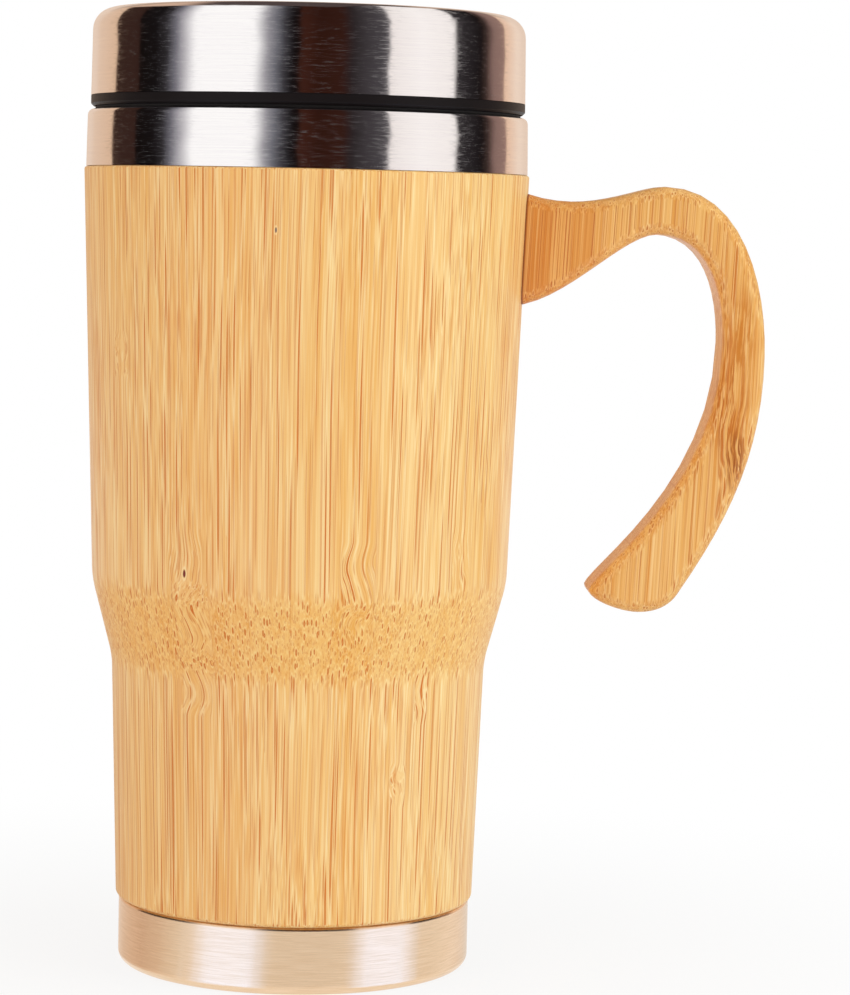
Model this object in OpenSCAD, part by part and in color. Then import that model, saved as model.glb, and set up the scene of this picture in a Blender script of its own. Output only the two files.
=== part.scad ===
// Bamboo travel mug with a steel liner, a hook handle and a slide-lock lid.
// The origin is on the mug's axis at the table, +Z is up and the handle points along +X.

/* [Bamboo shell] */
// Height from the table to the top of the steel collar
cup_h = 162.5; // [150:0.5:180]
// Outside radius at the top of the bamboo
shell_top_r = 42.2; // [41:0.1:45]
// Outside radius at the upper knee of the waist
waist_top_r = 39.65; // [38.5:0.05:41]
// Outside radius at the lower knee of the waist
waist_low_r = 35.7; // [34.5:0.1:37]
// Outside radius at the bamboo's foot
foot_r = 34.3; // [33:0.1:36]
// Height of the waist's upper knee above the table
waist_top_z = 73.8; // [68:0.2:80]
// Height of the waist's lower knee above the table
waist_low_z = 58.9; // [50:0.1:62]
// Radius of the blend at each knee
knee_r = 20; // [10:1:24]
// Thickness of the bamboo wall
shell_wall = 4; // [3.2:0.1:5]
// Rounding of the bamboo's bottom edge
foot_round = 1; // [0.4:0.1:1.6]
// Rounding of the bamboo's top edge
top_round = 0.5; // [0.2:0.1:1]

/* [Steel collar] */
// Height of the steel band round the mouth
collar_h = 10.8; // [8:0.2:14]
// How far the band lies inside the bamboo's surface
collar_inset = 0.35; // [0.1:0.05:0.6]
// How much the band's radius falls over its height
collar_taper = 0.2; // [0:0.05:0.4]
// Rounding of the band's shoulder
collar_round = 1.2; // [0.8:0.1:1.8]
// Length of the skirt that turns down inside the bamboo
collar_skirt = 7; // [4:0.5:9]
// Thickness of the collar's sheet
collar_t = 0.6; // [0.4:0.1:0.8]

/* [Base cap] */
// Height of the steel cap below the bamboo
base_h = 12.8; // [10:0.2:16]
// How far the base cap lies inside the bamboo's surface
base_inset = 0.6; // [0.2:0.1:1.2]
// Rounding of the base cap's bottom edge
base_round = 2; // [1:0.1:3]
// Thickness of the base cap's sheet
base_t = 0.7; // [0.5:0.1:0.9]
// Length of the neck that goes up into the bamboo
neck_h = 8; // [5:0.5:12]
// How far the middle of the base is raised above the table
kick_up = 2; // [1:0.1:3]
// Width of the ring that the mug stands on, with its rounding and slope
stand_w = 7.7; // [6:0.1:10]

/* [Liner] */
// Thickness of the liner's sheet
liner_t = 0.5; // [0.4:0.1:0.7]
// Free gap between the liner and the neck of the base cap
liner_clear = 0.5; // [0.3:0.1:0.8]
// Height of the liner's underside above the table
liner_floor_z = 6; // [5:0.1:9]
// Rounding between the liner's floor and its wall
liner_round = 6; // [3:0.5:9]
// How far the lip that lies on the collar stays inside the bamboo's surface
lip_inset = 2.8; // [2.2:0.1:3.1]
// How far the cushion under the liner stays inside the raised middle
pad_inset = 3; // [2:0.5:10]

/* [Handle] */
// How far the handle stands out from the bamboo
handle_reach = 45.9; // [40:0.1:55]
// Height of the handle from its lowest point to its crest
handle_h = 81.1; // [70:0.1:95]
// Thickness of the handle's slab
handle_t = 15; // [12:0.5:18]
// Distance of the handle's crest below the top of the bamboo
handle_drop = 1.5; // [0:0.1:4]
// Rounding of the handle's long edges
handle_round = 2.4; // [1.4:0.1:2.8]

/* [Handle screws] */
// Diameter of the screw's shank
screw_d = 4; // [3:0.2:4.6]
// Diameter of the screw's countersunk head
screw_head_d = 7.6; // [6:0.2:8.4]
// Length of each screw over all
screw_l = 15; // [12:0.5:16]
// Distance between the two screws
screw_pitch = 8; // [7:0.2:9]
// Distance of the upper screw below the handle's crest
screw_drop = 6.8; // [6:0.1:8]

/* [Lid] */
// Height of the steel cover
cover_h = 16.4; // [14:0.2:22]
// How far the cover's foot and the flange under it lie inside the bamboo's surface
cover_inset = 1.1; // [0.4:0.1:1.6]
// How much the cover's radius falls over its height
cover_taper = 0.25; // [0:0.05:0.5]
// Rounding of the cover's top edge
cover_round = 4; // [2:0.2:6]
// Thickness of the cover's sheet
cover_t = 0.6; // [0.4:0.1:0.8]
// Width of the cover's rim, from its side to its opening
rim_w = 11.5; // [11:0.1:14]
// Width and depth of the seat round that opening
seat_w = 2; // [1.6:0.1:2.6]
seat_d = 1; // [1:0.1:1.4]
// Thickness of the black flange under the cover
flange_t = 2; // [1.4:0.1:3]
// Bevel of the flange's lower edge
flange_bevel = 0.5; // [0.2:0.1:0.8]
// Depth of the plug below the flange
plug_depth = 13; // [10:0.5:18]
// Wall thickness of the plug
plug_wall = 1.8; // [1.5:0.1:2.4]
// Gap between the plug and the liner at the plug's foot
plug_clear = 0.45; // [0.3:0.05:0.7]
// Height of the silicone seal
seal_h = 3; // [2.4:0.1:4]
// Depth of the seal's groove
groove_d = 1; // [0.6:0.1:1.2]

/* [Deck and slider] */
// Depth of the deck's floor below the top of the cover
dish_depth = 7.9; // [7.2:0.1:9]
// Wall thickness of the deck
deck_wall = 1.5; // [1.2:0.1:1.9]
// Length and width of the sip slot
sip_l = 14; // [10:0.5:15]
sip_w = 5.5; // [4.5:0.1:6.5]
// Diameter of the vent hole
vent_d = 2.4; // [1.6:0.1:3]
// Place of the stop behind the slider, as a share of the deck's radius
stop_share = 0.414; // [0.38:0.002:0.46]
// Width of the slider's plate
slider_w = 18; // [17:0.2:19]
// Travel of the slider
slider_travel = 11; // [9:0.5:11.5]
// Thickness of the slider's plate
plate_t = 1.6; // [1.2:0.1:2]

/* [Hidden] */
$fn = 96;

bamboo = [0.86, 0.69, 0.43];
handle_bamboo = [0.78, 0.56, 0.3];
polished = [0.8, 0.8, 0.81];
brushed = [0.74, 0.7, 0.64];
black = [0.06, 0.06, 0.06];
silicone = [0.75, 0.75, 0.72];
foam = [0.9, 0.88, 0.82];

// Steps of each rounded corner in a profile
arc_steps = 8;
// Overrun of every cut past the face that it leaves
over = 1;
// Glue gap between pieces that fit into each other
glue_gap = 0.08;
// Running gap of pieces that slide on each other
slide_gap = 0.1;

// Places that follow from the sizes above
shell_top_z = cup_h - collar_h;
low_slope = (waist_low_r - foot_r) / (waist_low_z - base_h);
waist_slope = (waist_top_r - waist_low_r) / (waist_top_z - waist_low_z);
top_slope = (shell_top_r - waist_top_r) / (shell_top_z - waist_top_z);
liner_inset = shell_wall + glue_gap + base_t + liner_clear;
base_r = foot_r - base_inset;
kick_r = base_r - stand_w;
lid_z = cup_h + liner_t;
cover_z = lid_z + flange_t;
lid_top_z = cover_z + cover_h;
cover_r = shell_top_r - cover_inset;
opening_r = cover_r - rim_w;

// Radius of the bamboo's outside at a height, without the blends
function shell_r(z) =
    z < waist_low_z ? foot_r + (z - base_h) * low_slope
    : z > waist_top_z ? waist_top_r + (z - waist_top_z) * top_slope
    : waist_low_r + (z - waist_low_z) * waist_slope;

// Least of those radii from a height up to the mouth, which whatever goes in there has to pass
function least_r(z) = min(shell_r(z), shell_r(cup_h));

// The bamboo's outline moved in by a wall, from one height up to another, as [radius, height, rounding]
function wall_line(inset, z0, z1) = [
    [shell_r(z0) - inset, z0, 0],
    [waist_low_r - inset, waist_low_z, knee_r],
    [waist_top_r - inset, waist_top_z, knee_r],
    [shell_r(z1) - inset, z1, 0]
];

function flat(p) = [p[0], p[1]];
function unit(v) = v / norm(v);
function left_of(v) = [-v[1], v[0]];
function turn(u, v) = u[0] * v[1] - u[1] * v[0];
function reversed(list) = [for (i = [len(list) - 1 : -1 : 0]) list[i]];

// Points of the rounded corner at b between a and c, or b alone where it is sharp
function corner(a, b, c, r) =
    let (u = unit(flat(a) - flat(b)), v = unit(flat(c) - flat(b)))
    r <= 0 || abs(turn(u, v)) < 0.001 ? [flat(b)]
    : let (
        half = acos(u * v) / 2,
        start = flat(b) + u * r / tan(half),
        centre = flat(b) + unit(u + v) * r / sin(half),
        side = turn(u, v) > 0 ? -1 : 1,
        sweep = acos(-u * v) * side,
        from = atan2(start[1] - centre[1], start[0] - centre[0])
    )
    [for (i = [0 : arc_steps]) centre + r * [cos(from + sweep * i / arc_steps), sin(from + sweep * i / arc_steps)]];

// An open line with its inner corners rounded
function rounded_line(p) = [
    for (i = [0 : len(p) - 1])
        each (i == 0 || i == len(p) - 1 ? [flat(p[i])] : corner(p[i - 1], p[i], p[i + 1], p[i][2]))
];

// A closed outline with its corners rounded
function rounded_outline(p) = [
    for (i = [0 : len(p) - 1])
        each corner(p[(i + len(p) - 1) % len(p)], p[i], p[(i + 1) % len(p)], p[i][2])
];

// The line that lies one sheet thickness to the left of p, with roundings to match
function left_line(p, t) = [
    for (i = [0 : len(p) - 1])
        let (
            before = i > 0 ? unit(flat(p[i]) - flat(p[i - 1])) : unit(flat(p[1]) - flat(p[0])),
            after = i < len(p) - 1 ? unit(flat(p[i + 1]) - flat(p[i])) : before,
            shift = t * (left_of(before) + left_of(after)) / (1 + before * after),
            side = turn(before, after) > 0 ? -1 : 1
        )
        [p[i][0] + shift[0], p[i][1] + shift[1], p[i][2] > 0 ? max(0, p[i][2] + side * t) : 0]
];

// Outline of a drawn sheet whose outside is the line p and whose thickness is t
function sheet_outline(p, t) = concat(rounded_line(p), reversed(rounded_line(left_line(p, t))));

module drawn_sheet(line, t) {
    rotate_extrude() polygon(sheet_outline(line, t));
}

module turned(outline) {
    rotate_extrude() polygon(rounded_outline(outline));
}

// Flat plate with rounded corners, from y0 to y1, centred across
module rounded_plate(w, y0, y1, t, r) {
    linear_extrude(t)
        polygon(rounded_outline([[-w / 2, y0, r], [w / 2, y0, r], [w / 2, y1, r], [-w / 2, y1, r]]));
}

// Long hole or pad with round ends, centred on the origin, its length along X
module slot(l, w, h) {
    reach = (l - w) / 2;
    translate([-reach, -w / 2, 0]) cube([2 * reach, w, h]);
    for (side = [-1, 1]) translate([side * reach, 0, 0]) cylinder(h = h, d = w);
}

// Bamboo shell

spigot_r = shell_top_r - collar_inset - collar_t - glue_gap;
spigot_top_z = cup_h - collar_t - glue_gap;

module bamboo_shell() {
    bore = wall_line(shell_wall, base_h, spigot_top_z);
    spigot_round = collar_round;
    color(bamboo) difference() {
        turned([
            [foot_r, base_h, foot_round],
            [waist_low_r, waist_low_z, knee_r],
            [waist_top_r, waist_top_z, knee_r],
            [shell_top_r, shell_top_z, top_round],
            [spigot_r, shell_top_z, 0],
            [spigot_r - collar_taper, spigot_top_z, spigot_round],
            [bore[3][0], spigot_top_z, spigot_round],
            bore[2],
            bore[1],
            bore[0]
        ]);
        at_screws() {
            cylinder(h = screw_l, d = screw_d + 2 * glue_gap);
            translate([0, 0, -screw_sunk]) cylinder(h = screw_sunk, d = screw_head_d + 2 * glue_gap);
            countersink(screw_head_d + 2 * glue_gap);
        }
    }
}

// Handle: the outline is a chain of cubic curves in shares of the handle's reach and height,
// measured out from the bamboo and down from the crest

root_z = shell_top_z - handle_drop - handle_h * 0.15;
root_x = shell_r(root_z);
handle_top_z = shell_top_z - handle_drop;
handle_start_share = [-0.13, 0.016];
handle_curve_shares = [
    [[-0.08, 0.018], [-0.03, 0.02], [-0.004, 0.023]],
    [[0.251, 0.07], [0.474, 0], [0.567, 0]],
    [[0.899, 0], [1, 0.232], [1, 0.392]],
    [[1, 0.609], [0.884, 0.766], [0.67, 0.95]],
    [[0.66, 0.959], [0.622, 1], [0.501, 1]],
    [[0.421, 1], [0.292, 0.972], [0.292, 0.949]],
    [[0.292, 0.911], [0.82, 0.71], [0.82, 0.364]],
    [[0.82, 0.25], [0.763, 0.112], [0.539, 0.112]],
    [[0.412, 0.112], [0.2, 0.252], [0, 0.28]],
    [[-0.04, 0.286], [-0.09, 0.292], [-0.13, 0.292]]
];
handle_steps = 12;
edge_steps = 4;

function curve_point(a, b, c, d, t) =
    a * pow(1 - t, 3) + b * 3 * pow(1 - t, 2) * t + c * 3 * (1 - t) * t * t + d * pow(t, 3);
function handle_place(share) = [root_x + handle_reach * share[0], handle_top_z - handle_h * share[1]];
handle_outline = [
    handle_place(handle_start_share),
    for (i = [0 : len(handle_curve_shares) - 1])
        let (
            start = i == 0 ? handle_start_share : handle_curve_shares[i - 1][2],
            curve = handle_curve_shares[i]
        )
        for (k = [1 : handle_steps])
            handle_place(curve_point(start, curve[0], curve[1], curve[2], k / handle_steps))
];

// Distance of a point from that outline, and the share of a move inward that it has to keep
function edge_distance(p) = min([
    for (i = [1 : len(handle_outline) - 1])
        let (
            from = handle_outline[i - 1],
            along = handle_outline[i] - from,
            share = max(0, min(1, (p - from) * along / (along * along)))
        )
        norm(p - from - share * along)
]);
clear_share = 0.97;

// Where the line from p along u meets the line from q along v
function meeting(p, u, q, v) = p + u * turn(q - p, v) / turn(u, v);

// The outline moved in by a distance. At the tip, which turns more sharply than that, the points
// that would cross each other run to the mitre and back.
function moved_in(inset) =
    let (
        last = len(handle_outline) - 1,
        way = [for (i = [0 : last]) unit(handle_outline[min(i + 1, last)] - handle_outline[max(i - 1, 0)])],
        moved = [for (i = [0 : last]) handle_outline[i] - left_of(way[i]) * inset],
        crossed = [for (i = [0 : last]) if (edge_distance(moved[i]) < inset * clear_share) i]
    )
    len(crossed) == 0 ? moved
    : let (
        from = min(crossed) - 1,
        to = max(crossed) + 1,
        mitre = meeting(moved[from], way[from], moved[to], way[to])
    )
    [for (i = [0 : last])
        let (share = 2 * (i - from) / (to - from))
        i <= from || i >= to ? moved[i]
        : share < 1 ? moved[from] + (mitre - moved[from]) * share
        : mitre + (moved[to] - mitre) * (share - 1)];

// Two triangles over the corners a, b, c and d
function quad(a, b, c, d) = [[a, b, d], [b, c, d]];

// Faces of an end cap: strips from the outline's upper half across to its lower half
function cap_faces(n, first) =
    let (last = n - 1, half = floor(n / 2))
    [for (i = [0 : half - 1]) each
        i == half - 1 ? [[first + i, first + i + 1, first + last - i]]
        : quad(first + i, first + i + 1, first + last - i - 1, first + last - i)];
function flipped(faces) = [for (f = faces) reversed(f)];

// Closed skin over equal rings of an odd number of points, which run round the same way
module skin(rings) {
    n = len(rings[0]);
    last = len(rings) - 1;
    polyhedron(
        points = [for (ring = rings) each ring],
        faces = concat(
            cap_faces(n, 0),
            [for (k = [0 : last - 1]) for (i = [0 : n - 1]) each
                quad(k * n + i, (k + 1) * n + i, (k + 1) * n + (i + 1) % n, k * n + (i + 1) % n)],
            flipped(cap_faces(n, last * n))
        )
    );
}

// Solid that the handle's root is coped to: the bamboo's upper cone
module root_seat() {
    translate([0, 0, waist_top_z]) cylinder(h = shell_top_z - waist_top_z, r1 = waist_top_r, r2 = shell_top_r);
}

module handle() {
    flat_half = handle_t / 2 - handle_round;
    lines = [for (k = [0 : edge_steps]) moved_in(handle_round * (1 - cos(90 * k / edge_steps)))];
    heights = [for (k = [0 : edge_steps]) flat_half + handle_round * sin(90 * k / edge_steps)];
    near = [for (k = [edge_steps : -1 : 0]) [for (p = lines[k]) [p[0], -heights[k], p[1]]]];
    far = [for (k = [0 : edge_steps]) [for (p = lines[k]) [p[0], heights[k], p[1]]]];
    color(handle_bamboo) difference() {
        skin(concat(near, far));
        root_seat();
        at_screws() cylinder(h = screw_l + glue_gap, d = screw_d + 2 * glue_gap);
    }
}

// Handle screws, driven from inside the shell, with their heads sunk below the bore

screw_z = handle_top_z - screw_drop;
screw_head_h = (screw_head_d - screw_d) / 2;
screw_sunk = shell_wall / 4;
screw_x = shell_r(screw_z - screw_pitch) - shell_wall + screw_sunk / 2;
screw_point_h = screw_d * 0.8;

module at_screws() {
    for (z = [screw_z, screw_z - screw_pitch])
        translate([screw_x, 0, z]) rotate([0, 90, 0]) children();
}

module countersink(d) {
    cylinder(h = screw_head_h, d1 = d, d2 = screw_d);
}

module handle_screws() {
    recess = screw_d / 2;
    color(polished) at_screws() difference() {
        union() {
            countersink(screw_head_d);
            cylinder(h = screw_l - screw_point_h, d = screw_d);
            translate([0, 0, screw_l - screw_point_h])
                cylinder(h = screw_point_h, d1 = screw_d, d2 = screw_d / 4);
        }
        for (turned_by = [0, 90]) rotate([0, 0, turned_by])
            translate([-recess, -recess / 4, -over]) cube([2 * recess, recess / 2, over + screw_head_h * 0.8]);
    }
}

// Steel liner: drawn vessel that hangs from its lip on the collar

module steel_liner() {
    wall = wall_line(liner_inset, liner_floor_z, cup_h);
    foot = [wall[0][0], liner_floor_z, liner_round];
    mouth = [wall[3][0], cup_h, liner_t];
    lip = [shell_top_r - lip_inset, cup_h, 0];
    color(polished) drawn_sheet([[0, liner_floor_z, 0], foot, wall[1], wall[2], mouth, lip], liner_t);
}

// Steel collar: channel pressed over the bamboo's spigot

bore_neck_r = least_r(cup_h - collar_skirt) - shell_wall;
collar_bore_r = bore_neck_r - glue_gap - collar_t;

module steel_collar() {
    bottom_r = shell_top_r - collar_inset;
    color(polished) drawn_sheet([
        [bottom_r, shell_top_z + glue_gap, 0],
        [bottom_r - collar_taper, cup_h, collar_round],
        [collar_bore_r, cup_h, collar_round],
        [collar_bore_r, cup_h - collar_skirt, 0]
    ], collar_t);
}

// Base cap: pressed steel, with a shoulder under the bamboo and a neck inside it

neck_r = foot_r - shell_wall - glue_gap;

module base_cap() {
    color(brushed) drawn_sheet([
        [0, kick_up, 0],
        [kick_r, kick_up, base_t],
        [kick_r + kick_up, 0, base_t],
        [base_r, 0, base_round],
        [base_r, base_h, base_t],
        [neck_r, base_h, 0],
        [neck_r, base_h + neck_h, 0]
    ], base_t);
}

module liner_pad() {
    bottom_z = kick_up + base_t;
    color(foam) translate([0, 0, bottom_z]) cylinder(h = liner_floor_z - bottom_z, r = kick_r - pad_inset);
}

// Lid cover: drawn steel with a seat stepped down round its opening

module lid_cap() {
    color(polished) drawn_sheet([
        [cover_r, cover_z + glue_gap, 0],
        [cover_r - cover_taper, lid_top_z, cover_round],
        [opening_r + seat_w, lid_top_z, cover_t + slide_gap],
        [opening_r + seat_w, lid_top_z - seat_d, slide_gap],
        [opening_r, lid_top_z - seat_d, 0]
    ], cover_t);
}

// Lid plug: flange under the cover, plug in the mouth, riser under the cover's seat

plug_foot_z = lid_z - plug_depth;
plug_r = least_r(plug_foot_z) - liner_inset - liner_t - plug_clear;
seal_z = plug_foot_z + plug_depth * 0.35;
riser_r = opening_r;
locate_r = cover_r - cover_t - cover_taper - glue_gap;
locate_h = cover_h * 0.35;

module lid_plug() {
    riser_top_z = lid_top_z - seat_d - cover_t;
    inner_r = plug_r - plug_wall;
    groove_r = plug_r - groove_d;
    edge = plug_wall / 4;
    color(black) turned([
        [inner_r, plug_foot_z, edge],
        [plug_r, plug_foot_z, edge],
        [plug_r, seal_z, 0],
        [groove_r, seal_z, 0],
        [groove_r, seal_z + seal_h, 0],
        [plug_r, seal_z + seal_h, 0],
        [plug_r, lid_z, edge],
        [cover_r - flange_bevel, lid_z, flange_bevel / 4],
        [cover_r, lid_z + flange_bevel, flange_bevel / 4],
        [cover_r, cover_z, 0],
        [locate_r, cover_z, 0],
        [locate_r, cover_z + locate_h, edge],
        [locate_r - plug_wall, cover_z + locate_h, edge],
        [locate_r - plug_wall, cover_z, edge],
        [riser_r + plug_wall, cover_z, edge],
        [riser_r + plug_wall, riser_top_z, edge],
        [riser_r, riser_top_z, edge],
        [riser_r, lid_z, edge],
        [inner_r, lid_z, edge]
    ]);
}

// Silicone seal with two lips, a running gap clear of the liner's wall

module lid_seal() {
    foot_r_in = plug_r - groove_d;
    lip_h = seal_h * 0.3;
    edge = lip_h / 3;
    lip_reach = least_r(seal_z) - liner_inset - liner_t - slide_gap;
    color(silicone) turned([
        [foot_r_in, seal_z, 0],
        [lip_reach, seal_z, edge],
        [lip_reach, seal_z + lip_h, edge],
        [plug_r, seal_z + lip_h, edge],
        [plug_r, seal_z + seal_h - lip_h, edge],
        [lip_reach, seal_z + seal_h - lip_h, edge],
        [lip_reach, seal_z + seal_h, edge],
        [foot_r_in, seal_z + seal_h, 0]
    ]);
}

// Deck: black dish in the cover's opening, with the slider's rails, the sip slot and the vent

dish_r = opening_r - glue_gap - deck_wall;
floor_z = lid_top_z - dish_depth;
dish_round = 0.8;
slider_front_y = -sqrt(pow(dish_r - dish_round, 2) - pow(slider_w / 2, 2));
stop_y = dish_r * stop_share;
slider_back_y = stop_y - slider_travel - 3 * slide_gap;
sip_y = slider_front_y + sip_w * 0.9;
rail_w = 1.8;
rail_lip = 0.9;
rail_t = 1.6;
rail_inner_x = slider_w / 2 + 3 * slide_gap;
rail_h = plate_t + 3 * slide_gap + rail_t;
rail_front_y = slider_front_y + 1.5 * rail_w;

// One rail, moulded on the deck's floor and running into the stop
module rail() {
    end_y = stop_y + rail_w / 2;
    translate([0, end_y, 0]) rotate([90, 0, 0]) linear_extrude(end_y - rail_front_y) polygon([
        [rail_inner_x, -deck_wall / 2],
        [rail_inner_x + rail_w, -deck_wall / 2],
        [rail_inner_x + rail_w, rail_h],
        [rail_inner_x - rail_lip - 3 * slide_gap, rail_h],
        [rail_inner_x - rail_lip - 3 * slide_gap, rail_h - rail_t],
        [rail_inner_x, rail_h - rail_t]
    ]);
}

module lid_deck() {
    outer_r = dish_r + deck_wall;
    rim_r = opening_r + seat_w - glue_gap;
    under_z = floor_z - deck_wall;
    skirt = 2 * deck_wall;
    edge = deck_wall / 4;
    across = 2 * (rail_inner_x + rail_w);
    color(black) difference() {
        union() {
            turned([
                [0, under_z, 0],
                [dish_r, under_z, edge],
                [dish_r, under_z - skirt, edge],
                [outer_r, under_z - skirt, edge],
                [outer_r, lid_top_z - seat_d, 0],
                [rim_r, lid_top_z - seat_d, 0],
                [rim_r, lid_top_z, edge],
                [dish_r, lid_top_z, dish_round],
                [dish_r, floor_z, dish_round],
                [0, floor_z, 0]
            ]);
            translate([0, 0, floor_z]) {
                rail();
                mirror([1, 0, 0]) rail();
                translate([-across / 2, stop_y, -deck_wall / 2]) cube([across, rail_w, rail_h + deck_wall / 2]);
            }
        }
        translate([0, sip_y, under_z - over]) slot(sip_l, sip_w, deck_wall + 2 * over);
        translate([0, dish_r - 3 * vent_d, under_z - over]) cylinder(h = deck_wall + 2 * over, d = vent_d);
    }
}

// Slider: plate under the rails' lips, raised body between them with a thumb scoop and ribs

plate_z = floor_z + slide_gap;
body_drop = 1.2;
body_h = dish_depth - plate_t - body_drop;
body_side = 1.5;
body_w = slider_w - 2 * body_side;
seal_pad_t = 1;
seal_pad_over = 1.4;

module slider() {
    round_r = body_w / 5;
    body_y0 = slider_front_y + 1.5 * rail_w;
    body_y1 = slider_back_y - rail_w;
    mid_y = (body_y0 + body_y1) / 2;
    scoop_d = body_h / 3;
    scoop_half = (body_y1 - body_y0) * 0.43;
    scoop_r = (pow(scoop_half, 2) / scoop_d + scoop_d) / 2;
    rib_r = scoop_d / 3;
    top_z = plate_z + plate_t + body_h;
    color(black) difference() {
        union() {
            translate([0, 0, plate_z]) rounded_plate(slider_w, slider_front_y, slider_back_y, plate_t, round_r / 2);
            difference() {
                translate([0, 0, plate_z + plate_t - slide_gap])
                    rounded_plate(body_w, body_y0, body_y1, body_h + slide_gap, round_r);
                translate([-body_w, mid_y, top_z + scoop_r - scoop_d]) rotate([0, 90, 0])
                    cylinder(h = 2 * body_w, r = scoop_r);
            }
            for (k = [-1, 0, 1])
                translate([-body_w / 3, mid_y + k * 4 * rib_r, top_z - scoop_d]) rotate([0, 90, 0])
                    cylinder(h = 2 * body_w / 3, r = rib_r);
        }
        translate([0, sip_y, plate_z - over])
            slot(sip_l + 2 * seal_pad_over, sip_w + 2 * seal_pad_over, over + seal_pad_t);
    }
}

module slider_seal() {
    color(silicone) translate([0, sip_y, floor_z + slide_gap / 2])
        slot(sip_l + 2 * seal_pad_over, sip_w + 2 * seal_pad_over, plate_z + seal_pad_t - floor_z - slide_gap / 2);
}

bamboo_shell();
handle();
handle_screws();
steel_liner();
steel_collar();
base_cap();
liner_pad();
lid_cap();
lid_plug();
lid_seal();
lid_deck();
slider();
slider_seal();
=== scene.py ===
import math

import bmesh
import bpy
from mathutils import Matrix, Vector


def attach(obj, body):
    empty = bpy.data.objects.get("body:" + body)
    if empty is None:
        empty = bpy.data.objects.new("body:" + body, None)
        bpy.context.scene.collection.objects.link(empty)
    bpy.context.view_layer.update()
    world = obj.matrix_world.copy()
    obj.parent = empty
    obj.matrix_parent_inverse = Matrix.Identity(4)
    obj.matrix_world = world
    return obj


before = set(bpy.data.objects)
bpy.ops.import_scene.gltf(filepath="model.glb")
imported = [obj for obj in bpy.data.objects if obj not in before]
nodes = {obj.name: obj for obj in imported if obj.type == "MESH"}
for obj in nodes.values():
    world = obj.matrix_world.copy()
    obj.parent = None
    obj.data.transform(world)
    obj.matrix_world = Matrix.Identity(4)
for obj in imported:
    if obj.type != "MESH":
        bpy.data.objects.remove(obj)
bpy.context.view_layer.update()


# Bamboo shell: a sleeve turned on a lathe from a block of upright bamboo strips glued side by side,
# with its bore and screw holes drilled, then lacquered. The strips lean a little with the tapered wall,
# which cuts their fibres into long lines, while the steep waist cuts them into short dashes.

MM = 0.001


def add(tree, kind, inputs=None, **settings):
    """A node in the tree, with its settings and its inputs: a socket is linked, a value is set."""
    made = tree.nodes.new("ShaderNode" + kind)
    for name, value in settings.items():
        setattr(made, name, value)
    for key, value in (inputs or {}).items():
        if isinstance(value, bpy.types.NodeSocket):
            tree.links.new(value, made.inputs[key])
        else:
            made.inputs[key].default_value = value
    return made


def calc(tree, operation, *values):
    return add(tree, "Math", dict(enumerate(values)), operation=operation).outputs[0]


def plus(tree, first, second):
    return calc(tree, "ADD", first, second)


def less(tree, first, second):
    return calc(tree, "SUBTRACT", first, second)


def times(tree, first, second):
    return calc(tree, "MULTIPLY", first, second)


def vector_calc(tree, operation, *values):
    made = add(tree, "VectorMath", dict(enumerate(values)), operation=operation)
    return made.outputs["Value" if operation == "LENGTH" else "Vector"]


def ramp(tree, value, low, high, low_out=0.0, high_out=1.0):
    """The value eased from low_out at low to high_out at high."""
    return add(tree, "MapRange", {"Value": value, "From Min": low, "From Max": high, "To Min": low_out,
                                  "To Max": high_out}, interpolation_type="SMOOTHSTEP").outputs[0]


def mix(tree, share, first, second, blend="MIX"):
    """Two colours mixed. The node's inputs 0, 6 and 7 are its share and its two colours."""
    made = add(tree, "Mix", {}, data_type="RGBA", blend_type=blend)
    for index, value in ((0, share), (6, first), (7, second)):
        if isinstance(value, bpy.types.NodeSocket):
            tree.links.new(value, made.inputs[index])
        else:
            made.inputs[index].default_value = value
    return made.outputs[2]


def parts_of(tree, vector):
    return add(tree, "SeparateXYZ", {0: vector}).outputs


def joined(tree, x, y, z):
    return add(tree, "CombineXYZ", {0: x, 1: y, 2: z}).outputs[0]


def along_level(tree, vector, amount):
    """The vector's level part, made longer by the amount."""
    return vector_calc(tree, "MULTIPLY", vector, joined(tree, amount, amount, 0.0))


def noise(tree, place, scale, detail=2.0, rough=0.5):
    return add(tree, "TexNoise", {"Vector": place, "Scale": scale, "Detail": detail,
                                  "Roughness": rough}).outputs[0]


def stretched_noise(tree, place, size, detail, rough):
    return noise(tree, vector_calc(tree, "MULTIPLY", place, size), 1.0, detail, rough)


def effect(name, inputs, outputs):
    """An empty node group with named sockets: its tree, its inputs and its outputs."""
    tree = bpy.data.node_groups.new(name, "ShaderNodeTree")
    for side, sockets in (("INPUT", inputs), ("OUTPUT", outputs)):
        for socket, kind in sockets.items():
            tree.interface.new_socket(socket, in_out=side, socket_type="NodeSocket" + kind)
    return tree, tree.nodes.new("NodeGroupInput").outputs, tree.nodes.new("NodeGroupOutput").inputs


def new_finish(name):
    """A new material, its tree and its shader."""
    material = bpy.data.materials.new(name)
    material.use_nodes = True
    return material, material.node_tree, material.node_tree.nodes["Principled BSDF"]


def place_in_mm(tree):
    spot = add(tree, "TexCoord").outputs["Object"]
    return add(tree, "VectorMath", {0: spot, "Scale": 1 / MM}, operation="SCALE").outputs["Vector"]


def colour(red, green, blue):
    """A colour written as the eye sees it, from 0 to 255, as the linear one that the shader takes."""
    return tuple(c / 12.92 if c <= 0.04045 else ((c + 0.055) / 1.055) ** 2.4
                 for c in (red / 255, green / 255, blue / 255)) + (1.0,)


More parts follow.
